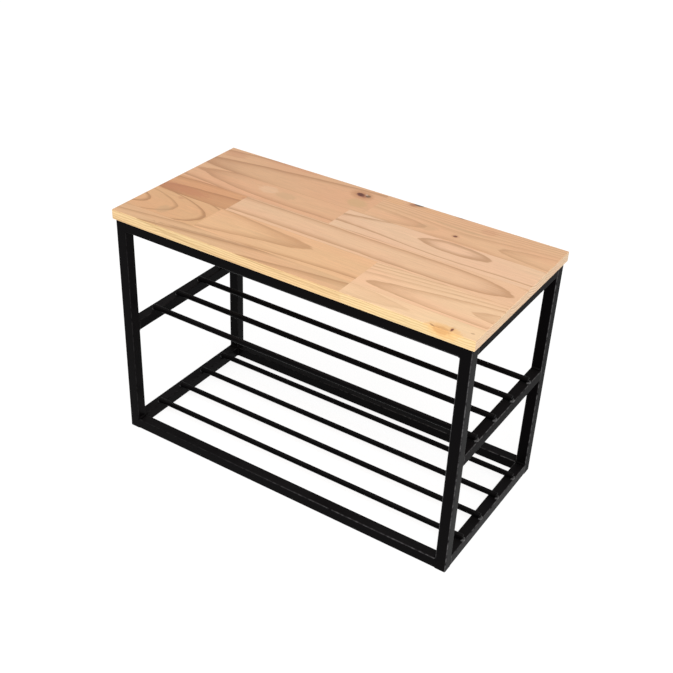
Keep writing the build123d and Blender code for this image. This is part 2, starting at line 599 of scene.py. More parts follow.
@dataclass(frozen=True)
class PowderCoatFinish:
    """Near-black satin powder coat, with a painted highlight along the rounded edges, stronger to
    the right.
    """

    paint: Colour = (0.0024, 0.0020, 0.0022)
    # Painted highlight: the light grey painted along the rounded edges in place of the lamps'
    # reflection.
    edge_glint: Colour = (0.240, 0.232, 0.236)
    dust_and_glint: Colour = (0.022, 0.021, 0.022)
    # Painted highlight: the weld beads' lighter grey, ramped towards the lit right end.
    bead: Colour = (0.050, 0.048, 0.049)
    bead_glint_share: float = 0.0
    edge_glint_share: float = 0.55
    # The painted highlights ramp up from the left towards the right end, where the right light
    # stands.
    light_ramp_span: Span = (-220.0, 336.0)
    light_ramp_least: float = 0.15
    dust_and_glint_share: float = 0.35
    shine: float = 0.022
    roughness: float = 0.36
    relief: float = 0.035
    peel_size: Size = (0.9,) * 3
    grit_size: Size = (0.28,) * 3
    cloud_size: Size = (70.0,) * 3
    glint_break_size: Size = (9.0,) * 3
    edge_width: float = 2.0

    def material(self, name: str, edges: "TubeEdges") -> bpy.types.Material:
        """Makes the paint.

        Args:
            name: The material's name.
            edges: Where the tubes' edges run.

        Returns:
            The material.
        """
        g = Graph(name)
        place = g.place()
        x, y, z = g.split(place)
        peel = g.noise(place, self.peel_size, detail=1.5)
        grit = g.noise(place, self.grit_size, 3.0, 1.0)
        cloud = g.noise(place, self.cloud_size, 11.0, 3.0)
        glint_breakup = g.noise(place, self.glint_break_size, 17.0, 3.0, 0.6)

        distance = edges.distance(abs(x), abs(y), z)
        # Painted highlight along the rounded edges, ramped towards the lit right end and broken up
        # by noise.
        light_ramp = x.step(*self.light_ramp_span) * (1.0 - self.light_ramp_least) + self.light_ramp_least
        edge = distance.step(self.edge_width, 0.2) * glint_breakup.step(-0.22, 0.22) * light_ramp
        _, _, facing_z = g.split(g.facing())
        # Upward faces gather dust; on the weld beads the much lighter colour there is a painted
        # highlight.
        dust_and_glint_mask = facing_z.step(0.55, 0.95) * (cloud.step(-0.3, 0.3) * 0.7 + 0.3)

        # Weld beads are painted lighter towards the right end, a painted highlight.
        colour = g.mix(light_ramp * self.bead_glint_share, self.paint, self.bead)
        colour = g.mix(edge * self.edge_glint_share, colour, self.edge_glint)
        colour = g.mix(dust_and_glint_mask * self.dust_and_glint_share, colour, self.dust_and_glint)
        rough = self.roughness + cloud * 0.10 + grit * 0.10 + dust_and_glint_mask * 0.14 - edge * 0.06
        return g.finish(
            Base_Color=colour,
            Roughness=rough,
            Normal=g.bump(peel + grit * 0.35, self.relief),
            Specular_IOR_Level=self.shine,
        )


@dataclass(frozen=True)
class TubeEdges:
    """The planes that the tubes' faces lie on, in millimetres, mirrored about the middle.

    Where one tube is welded over another's edge, that edge counts as far away.
    """

    leg_x: Span
    leg_y: Span
    long_rail_z: tuple[float, ...]
    end_rail_z: tuple[float, ...]
    far: float = 9.0
    margin: float = 1.0
    seam: Span = (4.0, 2.5)

    def distance(self, x: Wire, y: Wire, z: Wire) -> Wire:
        """Returns the distance to the nearest long edge of any tube.

        Args:
            x: Distance along the bench from its middle.
            y: Distance across the bench from its middle.
            z: Height above the floor.

        Returns:
            The distance, in millimetres.
        """
        dx = self._nearest(x, self.leg_x)
        dy = self._nearest(y, self.leg_y)
        inner_x, inner_y = self.leg_x[0], self.leg_y[0]
        bottom_over, top_under = self.long_rail_z[1], self.long_rail_z[-2]
        joined = z.step(bottom_over + self.margin, bottom_over - self.margin)
        joined = joined + z.step(top_under - self.margin, top_under + self.margin)
        inner = x.step(*(inner_x + gap for gap in self.seam))
        on_leg = dx.most(dy) + joined * inner * self.far
        past_long = x.step(inner_x - self.margin, inner_x) * self.far
        on_long = self._nearest(z, self.long_rail_z).most(dy) + past_long
        past_end = y.step(inner_y - self.margin, inner_y) * self.far
        on_end = self._nearest(z, self.end_rail_z).most(dx) + past_end
        return on_leg.least(on_long).least(on_end)

    @staticmethod
    def _nearest(value: Wire, planes: Iterable[float]) -> Wire:
        """Measures to the nearest of several planes.

        Args:
            value: Where the point lies, at right angles to the planes.
            planes: Where the planes lie.

        Returns:
            The distance.
        """
        gaps = [abs(value - plane) for plane in planes]
        nearest = gaps[0]
        for gap in gaps[1:]:
            nearest = nearest.least(gap)
        return nearest


@dataclass(frozen=True)
class ZincFinish:
    """Bright zinc plating with a faint yellow passivation and drive scuffs."""

    bright: Colour = (0.62, 0.60, 0.55)
    dull: Colour = (0.42, 0.39, 0.32)
    cloud_size: Size = (2.2, 2.2, 2.2)
    scuff_size: Size = (0.25, 0.25, 1.8)

    def material(self, name: str) -> bpy.types.Material:
        """Makes the plating.

        Args:
            name: The material's name.

        Returns:
            The material.
        """
        g = Graph(name)
        place = g.place()
        cloud = g.noise(place, self.cloud_size, detail=3.0)
        scuff = g.noise(place, self.scuff_size)
        colour = g.mix(cloud.step(-0.25, 0.25), self.bright, self.dull)
        return g.finish(
            Base_Color=colour,
            Metallic=1.0,
            Roughness=scuff * 0.25 + cloud * 0.15 + 0.34,
            Normal=g.bump(scuff, 0.02),
        )


@dataclass(frozen=True)
class PlugPlasticFinish:
    """Moulded black polyethylene with a fine spark-eroded grain and a scuffed underside."""

    plastic: Colour = (0.012, 0.012, 0.013)
    scuffed: Colour = (0.055, 0.053, 0.050)
    spark_size: Size = (0.35, 0.35, 0.35)
    drag_size: Size = (6.0, 0.4, 0.4)

    def material(self, name: str) -> bpy.types.Material:
        """Makes the plastic.

        Args:
            name: The material's name.

        Returns:
            The material.
        """
        g = Graph(name)
        place = g.place()
        _, _, z = g.split(place)
        spark = g.noise(place, self.spark_size)
        drag = g.noise(place, self.drag_size, 4.0)
        scuff = drag.step(0.05, 0.30) * z.step(0.6, 0.1)
        return g.finish(
            Base_Color=g.mix(scuff, self.plastic, self.scuffed),
            Roughness=spark * 0.2 + scuff * 0.2 + 0.5,
            Normal=g.bump(spark, 0.03),
        )


# ---- Geometry Nodes ----


class NodeTool:
    """A Geometry Nodes tree with named inputs, run on a mesh to give a plain mesh."""

    def __init__(self, name: str, inputs: dict[str, str]) -> None:
        """Starts a tree.

        Args:
            name: The tree's name.
            inputs: The socket type of each named input after the geometry.
        """
        self.tree = bpy.data.node_groups.new(name, "GeometryNodeTree")
        face = self.tree.interface
        face.new_socket("Geometry", in_out="INPUT", socket_type="NodeSocketGeometry")
        for label, kind in inputs.items():
            face.new_socket(label, in_out="INPUT", socket_type=kind)
        face.new_socket("Geometry", in_out="OUTPUT", socket_type="NodeSocketGeometry")
        self.start = self.tree.nodes.new("NodeGroupInput")

    def given(self, label: str) -> bpy.types.NodeSocket:
        """Returns the socket that carries a named input."""
        return self.start.outputs[label]

    def add(
        self, kind: str, settings: dict, values: dict, output: Union[int, str] = 0
    ) -> bpy.types.NodeSocket:
        """Adds one node.

        Args:
            kind: The node's type name.
            settings: Properties of the node.
            values: What each input socket gets, a value or another socket, by name or index.
            output: The output socket to return, by name or index.

        Returns:
            The chosen output socket.
        """
        return new_node(self.tree, kind, settings, values).outputs[output]

    def maths(self, operation: str, *values: Term) -> bpy.types.NodeSocket:
        """Returns the result of a Math node."""
        return self.add("ShaderNodeMath", {"operation": operation}, dict(enumerate(values)))

    def close(self, geometry: bpy.types.NodeSocket) -> None:
        """Ends the tree in Realize Instances and Set Material.

        Args:
            geometry: What the tree has made.
        """
        real = self.add("GeometryNodeRealizeInstances", {}, {"Geometry": geometry})
        values = {"Geometry": real, "Material": self.given("Material")}
        dressed = self.add("GeometryNodeSetMaterial", {}, values)
        new_node(self.tree, "NodeGroupOutput", {}, {0: dressed})

    def run(
        self, name: str, guide: bpy.types.Mesh, values: dict, finish: Sequence[dict] = ()
    ) -> bpy.types.Object:
        """Runs the tree on a guide mesh.

        Args:
            name: The name of the new piece.
            guide: The points and edges that the tree reads.
            values: The value of each named input.
            finish: Settings of the modifiers that follow the tree, each with its "type".

        Returns:
            The piece, as a plain mesh.
        """
        source = bpy.data.objects.new(name + "_guide", guide)
        bpy.context.scene.collection.objects.link(source)
        modifier = source.modifiers.new("tree", "NODES")
        modifier.node_group = self.tree
        for item in self.tree.interface.items_tree:
            if item.item_type == "SOCKET" and item.in_out == "INPUT" and item.name in values:
                modifier[item.identifier] = values[item.name]
        for settings in finish:
            follower = source.modifiers.new(settings["type"].lower(), settings["type"])
            for key, value in settings.items():
                if key != "type":
                    setattr(follower, key, value)
        depsgraph = bpy.context.evaluated_depsgraph_get()
        depsgraph.update()
        evaluated = source.evaluated_get(depsgraph)
        made = bpy.data.meshes.new_from_object(evaluated, depsgraph=depsgraph)
        made.name = name
        bpy.data.objects.remove(source)
        piece = bpy.data.objects.new(name, made)
        bpy.context.scene.collection.objects.link(piece)
        return piece


def guide_lines(name: str, lines: Iterable[Sequence[Vector]]) -> bpy.types.Mesh:
    """Makes a mesh of open lines.

    Args:
        name: The mesh's name.
        lines: The points of each line, in metres.

    Returns:
        A mesh with the points and the edges between them.
    """
    points: list[Vector] = []
    edges: list[tuple[int, int]] = []
    for line in lines:
        first = len(points)
        points.extend(line)
        edges.extend((first + i, first + i + 1) for i in range(len(line) - 1))
    mesh = bpy.data.meshes.new(name)
    mesh.from_pydata(points, edges, [])
    mesh.update()
    return mesh


class BeadTree(NodeTool):
    """Runs a rippled weld bead along each guide line, with rounded ends."""

    # The step between points as a share of a ripple, how sharp the crests and the ends are, how
    # full the bead is in its middle, and the scale of its unevenness.
    STEP_SHARE = 0.2
    CREST_POWER = 0.6
    END_POWER = 9.0
    END_TOP = 1.02
    NOISE_SCALE = 260.0

    def __init__(self) -> None:
        """Builds the tree."""
        super().__init__(
            "weld_bead",
            {
                "Bead Radius": "NodeSocketFloat",
                "Ripple Pitch": "NodeSocketFloat",
                "Ripple Depth": "NodeSocketFloat",
                "Unevenness": "NodeSocketFloat",
                "Sides": "NodeSocketInt",
                "Seed": "NodeSocketFloat",
                "Material": "NodeSocketMaterial",
            },
        )
        curve = self.add("GeometryNodeMeshToCurve", {}, {"Mesh": self.given("Geometry")})
        spacing = self.maths("MULTIPLY", self.given("Ripple Pitch"), self.STEP_SHARE)
        values = {"Curve": curve, "Length": spacing}
        curve = self.add("GeometryNodeResampleCurve", {"mode": "LENGTH"}, values)
        factor = self.add("GeometryNodeSplineParameter", {}, {}, "Factor")
        length = self.add("GeometryNodeSplineParameter", {}, {}, "Length")
        saw = self.maths("FRACT", self.maths("DIVIDE", length, self.given("Ripple Pitch")))
        crest = self.maths("POWER", saw, self.CREST_POWER)
        rippled = self.maths("ADD", self.maths("MULTIPLY", crest, self.given("Ripple Depth")), 1.0)
        from_middle = self.maths("ABSOLUTE", self.maths("MULTIPLY_ADD", factor, 2.0, -1.0))
        narrowing = self.maths("POWER", from_middle, self.END_POWER)
        ends = self.maths("SUBTRACT", self.END_TOP, narrowing)
        tapered = self.maths("MULTIPLY", rippled, self.maths("SQRT", ends))
        uneven = self.maths("MULTIPLY_ADD", self._noise(), self.given("Unevenness"), 1.0)
        share = self.maths("MULTIPLY", tapered, uneven)
        self.close(self._swept(curve, self.maths("MULTIPLY", share, self.given("Bead Radius"))))

    def _noise(self) -> bpy.types.NodeSocket:
        """Makes slow noise along the beads.

        Returns:
            The noise, about zero.
        """
        settings = {"noise_dimensions": "4D"}
        values = {"W": self.given("Seed"), "Scale": self.NOISE_SCALE, "Detail": 1.0}
        return self.maths("SUBTRACT", self.add("ShaderNodeTexNoise", settings, values), 0.5)

    def _swept(
        self, curve: bpy.types.NodeSocket, radius: bpy.types.NodeSocket
    ) -> bpy.types.NodeSocket:
        """Sweeps a round section along the curve.

        Args:
            curve: The curve.
            radius: The section's radius at each point.

        Returns:
            The closed, smooth mesh.
        """
        values = {"Resolution": self.given("Sides"), "Radius": 1.0}
        section = self.add("GeometryNodeCurvePrimitiveCircle", {}, values)
        values = {"Curve": curve, "Profile Curve": section, "Scale": radius, "Fill Caps": True}
        mesh = self.add("GeometryNodeCurveToMesh", {}, values)
        return self.add("GeometryNodeSetShadeSmooth", {}, {"Geometry": mesh})


class RodTree(NodeTool):
    """Lays one round rod on each guide point, along the bench."""

    def __init__(self) -> None:
        """Builds the tree."""
        super().__init__(
            "shelf_rods",
            {
                "Rod Radius": "NodeSocketFloat",
                "Rod Length": "NodeSocketFloat",
                "Sides": "NodeSocketInt",
                "Material": "NodeSocketMaterial",
            },
        )
        values = {
            "Vertices": self.given("Sides"),
            "Side Segments": 1,
            "Radius": self.given("Rod Radius"),
            "Depth": self.given("Rod Length"),
        }
        rod = self.add("GeometryNodeMeshCylinder", {"fill_type": "NGON"}, values, "Mesh")
        smooth = self.add("GeometryNodeSetShadeSmooth", {}, {"Geometry": rod})
        values = {
            "Points": self.given("Geometry"),
            "Instance": smooth,
            "Rotation": (0.0, math.pi / 2, 0.0),
        }
        self.close(self.add("GeometryNodeInstanceOnPoints", {}, values))


# ---- Sub-assemblies --------------------------------------------------------------------------


def dress(node: str, material: bpy.types.Material) -> None:
    """Gives a CAD node its finish.

    Args:
        node: The node's name.
        material: The finish.
    """
    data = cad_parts[node].data
    data.materials.clear()
    data.materials.append(material)


@dataclass
class SeatPanel:
    """The glued seat: five staves, each finger-jointed from blocks."""

    blocks: dict[str, BlockGrain]
    finish: PineFinish = field(default_factory=PineFinish)

    def dress(self) -> int:
        """Gives every block its own grain.

        Returns:
            How many blocks there are.
        """
        for node, grain in self.blocks.items():
            low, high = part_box(node)
            dress(node, self.finish.material("pine_" + node, grain, low, high))
        return len(self.blocks)


LEGS = tuple(f"{side}_{end}_leg" for side in ("front", "back") for end in ("left", "right"))


@dataclass
class TubeFrame:
    """The legs and rails, all of one square tube."""

    legs: tuple[str, ...] = LEGS
    long_rails: tuple[str, ...] = tuple(
        f"{side}_{level}_rail" for level in ("top", "bottom") for side in ("front", "back")
    )
    end_rails: tuple[str, ...] = tuple(
        f"{end}_{level}_rail" for level in ("top", "shelf", "bottom") for end in ("left", "right")
    )
    # Tubes that get a shaded copy of the paint with less shine: painted shade under the seat and
    # where light falls off to the back.
    shaded_tubes: tuple[str, ...] = ("back_right_leg", "right_top_rail", "right_shelf_rail")

    def edges(self) -> TubeEdges:
        """Reads the planes of the tubes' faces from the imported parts.

        Returns:
            The planes, in millimetres.
        """
        low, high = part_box("back_right_leg")
        return TubeEdges(
            leg_x=(low.x * PER_MM, high.x * PER_MM),
            leg_y=(low.y * PER_MM, high.y * PER_MM),
            long_rail_z=self._heights(self.long_rails),
            end_rail_z=self._heights(self.end_rails),
        )

    @staticmethod
    def _heights(rails: Sequence[str]) -> tuple[float, ...]:
        """Returns the heights of some rails' undersides and tops, each once, from the lowest."""
        heights = {round(corner.z * PER_MM, 3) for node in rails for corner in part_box(node)}
        return tuple(sorted(heights))

    def dress(self, paint: bpy.types.Material, shaded_paint: bpy.types.Material) -> int:
        """Paints every tube.

        Args:
            paint: The finish of most tubes.
            shaded_paint: A copy of the paint with less shine, painting shade onto tubes that less
                light reaches.

        Returns:
            How many tubes there are.
        """
        tubes = self.legs + self.long_rails + self.end_rails
        for node in tubes:
            dress(node, shaded_paint if node in self.shaded_tubes else paint)
        return len(tubes)


@dataclass
class RodShelf:
    """One shelf of round rods that lie on the end rails."""

    name: str
    nodes: tuple[str, ...]
    sides: int = 40
    end_round: float = 0.5 * MM

    def build(self, tool: RodTree, paint: bpy.types.Material) -> bpy.types.Object:
        """Builds the shelf's rods.

        Args:
            tool: The tree that lays the rods.
            paint: Their finish.

        Returns:
            The rods as one piece.
        """
        boxes = [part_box(node) for node in self.nodes]
        middles = [(low + high) / 2 for low, high in boxes]
        low, high = boxes[0]
        guide = bpy.data.meshes.new(self.name + "_places")
        guide.from_pydata(middles, [], [])
        values = {
            "Rod Radius": (high.z - low.z) / 2,
            "Rod Length": high.x - low.x,
            "Sides": self.sides,
            "Material": paint,
        }
        rounding = {
            "type": "BEVEL",
            "width": self.end_round,
            "segments": 3,
            "limit_method": "ANGLE",
            "angle_limit": math.radians(50.0),
            "harden_normals": True,
        }
        piece = tool.run(self.name, guide, values, [rounding])
        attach(piece, Body.ROOT.value)
        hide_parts(*self.nodes)
        return piece


@dataclass(frozen=True)
class Bead:
    """One welder's bead."""

    radius: float
    ripple_pitch: float
    ripple_depth: float
    unevenness: float
    seed: float
    sides: int = 14

    def values(self, paint: bpy.types.Material) -> dict:
        """Collects the bead tree's inputs.

        Args:
            paint: The bead's finish.

        Returns:
            The value of each named input.
        """
        return {
            "Bead Radius": self.radius,
            "Ripple Pitch": self.ripple_pitch,
            "Ripple Depth": self.ripple_depth,
            "Unevenness": self.unevenness,
            "Sides": self.sides,
            "Seed": self.seed,
            "Material": paint,
        }


@dataclass
class FrameWelds:
    """The beads that join the tubes: rippled fillets inside, and grooves dressed flush outside."""

    bead: Bead = Bead(2.4 * MM, 1.9 * MM, ripple_depth=0.12, unevenness=0.22, seed=2.0)
    corner: float = 2.0 * MM
    proud: float = 0.08 * MM
    softening: float = 0.25 * MM

    def build(
        self, tool: BeadTree, paint: bpy.types.Material, flush_paint: bpy.types.Material
    ) -> list[bpy.types.Object]:
        """Builds the fillets and the dressed grooves.

        Args:
            tool: The tree that lays the beads.
            paint: The fillets' finish.
            flush_paint: The dressed grooves' finish.

        Returns:
            The two pieces.
        """
        guide = guide_lines("fillet_lines", self._fillets())
        fillets = tool.run("frame_fillet_welds", guide, self.bead.values(paint))
        dressed = self._grooves(flush_paint)
        for piece in (fillets, dressed):
            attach(piece, Body.ROOT.value)
            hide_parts("frame_welds")
        return [fillets, dressed]

    def _corner(self) -> tuple[float, float, float, float]:
        """Returns the back right leg's inner and outer faces: x and y inside, x and y outside."""
        low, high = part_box("back_right_leg")
        return low.x, low.y, high.x, high.y

    def _fillets(self) -> list[list[Vector]]:
        """Lays out the fillets of all four legs.

        Returns:
            The line of each fillet.
        """
        inner_x, inner_y, outer_x, outer_y = self._corner()
        half = self.bead.radius / 2
        back_rails = [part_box(node) for node in ("back_bottom_rail", "back_top_rail")]
        bottom_over, top_under = back_rails[0][1].z, back_rails[1][0].z
        shelf_low, shelf_high = (corner.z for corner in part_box("right_shelf_rail"))
        from_y, to_y = inner_y + self.corner, outer_y - self.corner
        from_x, to_x = inner_x + self.corner, outer_x - self.corner
        lines = []
        for z, up in ((bottom_over, 1), (top_under, -1)):
            x, height = inner_x - half, z + up * half
            lines.append([Vector((x, from_y, height)), Vector((x, to_y, height))])
        for z, up in ((bottom_over, 1), (shelf_low, -1), (shelf_high, 1), (top_under, -1)):
            y, height = inner_y - half, z + up * half
            lines.append([Vector((from_x, y, height)), Vector((to_x, y, height))])
        x, y = inner_x - half, inner_y - half
        for low, high in back_rails:
            ends = (low.z + self.corner, high.z - self.corner)
            lines.append([Vector((x, y, z)) for z in ends])
        return [
            [Vector((p.x * sx, p.y * sy, p.z)) for p in line]
            for line in lines
            for sx in (1, -1)
            for sy in (1, -1)
        ]

    def _grooves(self, paint: bpy.types.Material) -> bpy.types.Object:
        """Builds the filled grooves beside the legs' rounded edges.

        Args:
            paint: Their finish.

        Returns:
            The grooves of all four legs as one piece.
        """
        inner_x, inner_y, outer_x, outer_y = self._corner()
        made = bmesh.new()
        depth, proud = self.corner, self.proud
        behind = ((inner_x, outer_y - depth), (inner_x + depth, outer_y + proud))
        outside = ((outer_x - depth, inner_y), (outer_x + proud, inner_y + depth))
        inside = ((inner_x - proud, inner_y), (inner_x + depth, inner_y + depth))
        for node in ("back_bottom_rail", "back_top_rail"):
            self._bar(made, *behind, node)
            self._bar(made, *outside, node)
        self._bar(made, *outside, "right_shelf_rail")
        self._bar(made, *inside, "right_shelf_rail")
        quarter = bpy.data.meshes.new("quarter")
        made.to_mesh(quarter)
        for sx, sy in ((-1, 1), (1, -1), (-1, -1)):
            copy = quarter.copy()
            copy.transform(Matrix.Diagonal((sx, sy, 1, 1)))
            if sx * sy < 0:
                copy.flip_normals()
            made.from_mesh(copy)
        mesh = bpy.data.meshes.new("frame_dressed_welds")
        made.to_mesh(mesh)
        made.free()
        mesh.materials.append(paint)
        piece = bpy.data.objects.new("frame_dressed_welds", mesh)
        bpy.context.scene.collection.objects.link(piece)
        return piece

    def _bar(
        self, made: bmesh.types.BMesh, near: Sequence[float], far: Sequence[float], rail: str
    ) -> None:
        """Adds one groove filling with softened edges.

        Args:
            made: The mesh to add to.
            near: The lowest x and y.
            far: The highest x and y.
            rail: The rail that it joins, for its height.
        """
        low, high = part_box(rail)
        start = Vector((*near, low.z + self.corner))
        end = Vector((*far, high.z - self.corner))
        middle = (start + end) / 2
        size = Matrix.Diagonal((*(end - start), 1.0))
        box = bmesh.ops.create_cube(made, size=1.0, matrix=Matrix.Translation(middle) @ size)
        edges = list(dict.fromkeys(e for v in box["verts"] for e in v.link_edges))
        shape = {"offset": self.softening, "segments": 2, "profile": 0.5}
        bmesh.ops.bevel(made, geom=edges, affect="EDGES", **shape)


@dataclass
class RodWelds:
    """A short crescent bead round each rod's end, on top of the end rail."""

    bead: Bead = Bead(1.9 * MM, 1.7 * MM, ripple_depth=0.14, unevenness=0.30, seed=7.0)
    reach: float = 4.3 * MM
    inset: float = 2.2 * MM
    height_share: float = 0.35
    sweep: float = math.radians(84.0)
    steps: int = 12

    def build(
        self, tool: BeadTree, paint: bpy.types.Material, shelves: Sequence[RodShelf]
    ) -> bpy.types.Object:
        """Builds the beads.

        Args:
            tool: The tree that lays the beads.
            paint: Their finish.
            shelves: The shelves whose rods they hold.

        Returns:
            The beads as one piece.
        """
        nodes = [node for shelf in shelves for node in shelf.nodes]
        lines = [line for node in nodes for line in self._crescents(node)]
        guide = guide_lines("crescent_lines", lines)
        piece = tool.run("rod_end_welds", guide, self.bead.values(paint))
        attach(piece, Body.ROOT.value)
        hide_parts("rod_welds")
        return piece

    def _crescents(self, node: str) -> list[list[Vector]]:
        """Lays out the beads of one rod.

        Args:
            node: The rod.

        Returns:
            The line of the bead at each end.
        """
        low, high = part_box(node)
        y = (low.y + high.y) / 2
        lines = []
        for rod_end, outward in ((high.x, 1), (low.x, -1)):
            centre_x = rod_end - outward * self.inset
            line = []
            for step in range(self.steps + 1):
                angle = self.sweep * (2 * step / self.steps - 1)
                x = centre_x + outward * self.reach * math.cos(angle)
                height = low.z + self.bead.radius * self.height_share
                line.append(Vector((x, y + self.reach * math.sin(angle), height)))
            lines.append(line)
        return lines


@dataclass
class SeatScrews:
    """The screws that hold the seat, up through the top rails."""

    node: str = "seat_screws"

    def dress(self) -> None:
        """Gives the screws their plating."""
        dress(self.node, ZincFinish().material("screw_zinc"))


@dataclass
class LegPlugs:
    """The plastic plugs that close the legs' lower ends."""

    nodes: tuple[str, ...] = tuple(leg + "_plug" for leg in LEGS)

    def dress(self) -> None:
        """Gives the plugs their plastic."""
        plastic = PlugPlasticFinish().material("plug_plastic")
        for node in self.nodes:
            dress(node, plastic)


# ---- Studio ----


@dataclass(frozen=True)
class SoftBox:
    """A large soft light that points at the bench."""

    name: str
    place: tuple[float, float, float]
    size: float
    watts: float
    target: tuple[float, float, float] = (0.0, 0.0, 0.25)


@dataclass
class Studio:
    """A white floor, a white surround brighter near the horizon than overhead, soft boxes and the
    camera.
    """

    eye: tuple[float, float, float] = (0.8456, -1.3571, 1.2687)
    gaze: tuple[float, float, float] = (-0.4414, 0.7166, -0.5401)
    rightward: tuple[float, float, float] = (0.8371, 0.5456, 0.0397)
    lens: float = 58.36
    sensor_width: float = 36.0
    clip: Span = (0.05, 100.0)
    floor_size: float = 60.0
    floor_tones: tuple[Colour, Colour] = ((0.20, 0.20, 0.20), (0.23, 0.23, 0.23))
    mottle_size: Size = (900.0, 900.0, 900.0)
    surround: float = 0.62
    horizon_glow: float = 1.0
    horizon: Span = (0.05, 0.35)
    floor_glow: float = 0.86
    boxes: tuple[SoftBox, ...] = (
        SoftBox("key_light", (1.0, -1.9, 3.0), 1.8, 70.0),
        SoftBox("right_light", (1.6, -1.1, 0.7), 0.9, 4.0),
    )

    def build(self) -> None:
        """Builds the floor, the lights and the camera."""
        self._floor()
        self._surround()
        for box in self.boxes:
            self._light(box)
        self._camera()
        bpy.context.scene.view_settings.view_transform = "Standard"

    def _floor(self) -> None:
        """Lays a plain floor under the bench."""
        half = self.floor_size / 2
        corners = [(-half, -half, 0.0), (half, -half, 0.0), (half, half, 0.0), (-half, half, 0.0)]
        mesh = bpy.data.meshes.new("floor")
        mesh.from_pydata(corners, [], [(0, 1, 2, 3)])
        g = Graph("floor")
        mottle = g.noise(g.place(), self.mottle_size)
        tone = g.mix(mottle.step(-0.4, 0.4), *self.floor_tones)
        surface = g.finish(
            Base_Color=tone,
            Roughness=0.9,
            Specular_IOR_Level=0.1,
            Emission_Color=(1.0, 1.0, 1.0, 1.0),
            Emission_Strength=self.floor_glow,
        )
        mesh.materials.append(surface)
        floor = bpy.data.objects.new("floor", mesh)
        bpy.context.scene.collection.objects.link(floor)

    def _surround(self) -> None:
        """Lights the scene from all round, brighter near the horizon than overhead."""
        world = bpy.data.worlds.new("surround")
        world.use_nodes = True
        tree = world.node_tree
        background = tree.nodes["Background"]
        background.inputs["Color"].default_value = (1.0, 1.0, 1.0, 1.0)
        around = new_node(tree, "ShaderNodeTexCoord", {}, {})
        parts = new_node(tree, "ShaderNodeSeparateXYZ", {}, {0: around.outputs["Generated"]})
        span = dict(zip((1, 2, 3, 4), (*self.horizon, self.horizon_glow, self.surround)))
        settings = {"interpolation_type": "SMOOTHSTEP"}
        fall = new_node(tree, "ShaderNodeMapRange", settings, {0: parts.outputs["Z"], **span})
        tree.links.new(fall.outputs[0], background.inputs["Strength"])
        bpy.context.scene.world = world

    @staticmethod
    def _light(box: SoftBox) -> None:
        """Hangs one soft box.

        Args:
            box: The soft box.
        """
        data = bpy.data.lights.new(box.name, "AREA")
        data.shape = "SQUARE"
        data.size = box.size
        data.energy = box.watts
        light = bpy.data.objects.new(box.name, data)
        light.location = box.place
        aim = Vector(box.target) - Vector(box.place)
        light.rotation_euler = aim.to_track_quat("-Z", "Y").to_euler()
        bpy.context.scene.collection.objects.link(light)

    def _camera(self) -> None:
        """Sets up the camera."""
        data = bpy.data.cameras.new("camera")
        data.lens = self.lens
        data.sensor_width = self.sensor_width
        data.clip_start, data.clip_end = self.clip
        back = -Vector(self.gaze).normalized()
        up = back.cross(Vector(self.rightward)).normalized()
        right = up.cross(back)
        turn = Matrix((right, up, back)).transposed().to_4x4()
        camera = bpy.data.objects.new("camera", data)
        camera.matrix_world = Matrix.Translation(self.eye) @ turn
        bpy.context.scene.collection.objects.link(camera)
        bpy.context.scene.camera = camera


# ---- The seat's blocks ----


TAN: Colour = (0.50, 0.32, 0.165)
RUST: Colour = (0.50, 0.20, 0.10)
CREAM: Colour = (0.80, 0.57, 0.38)

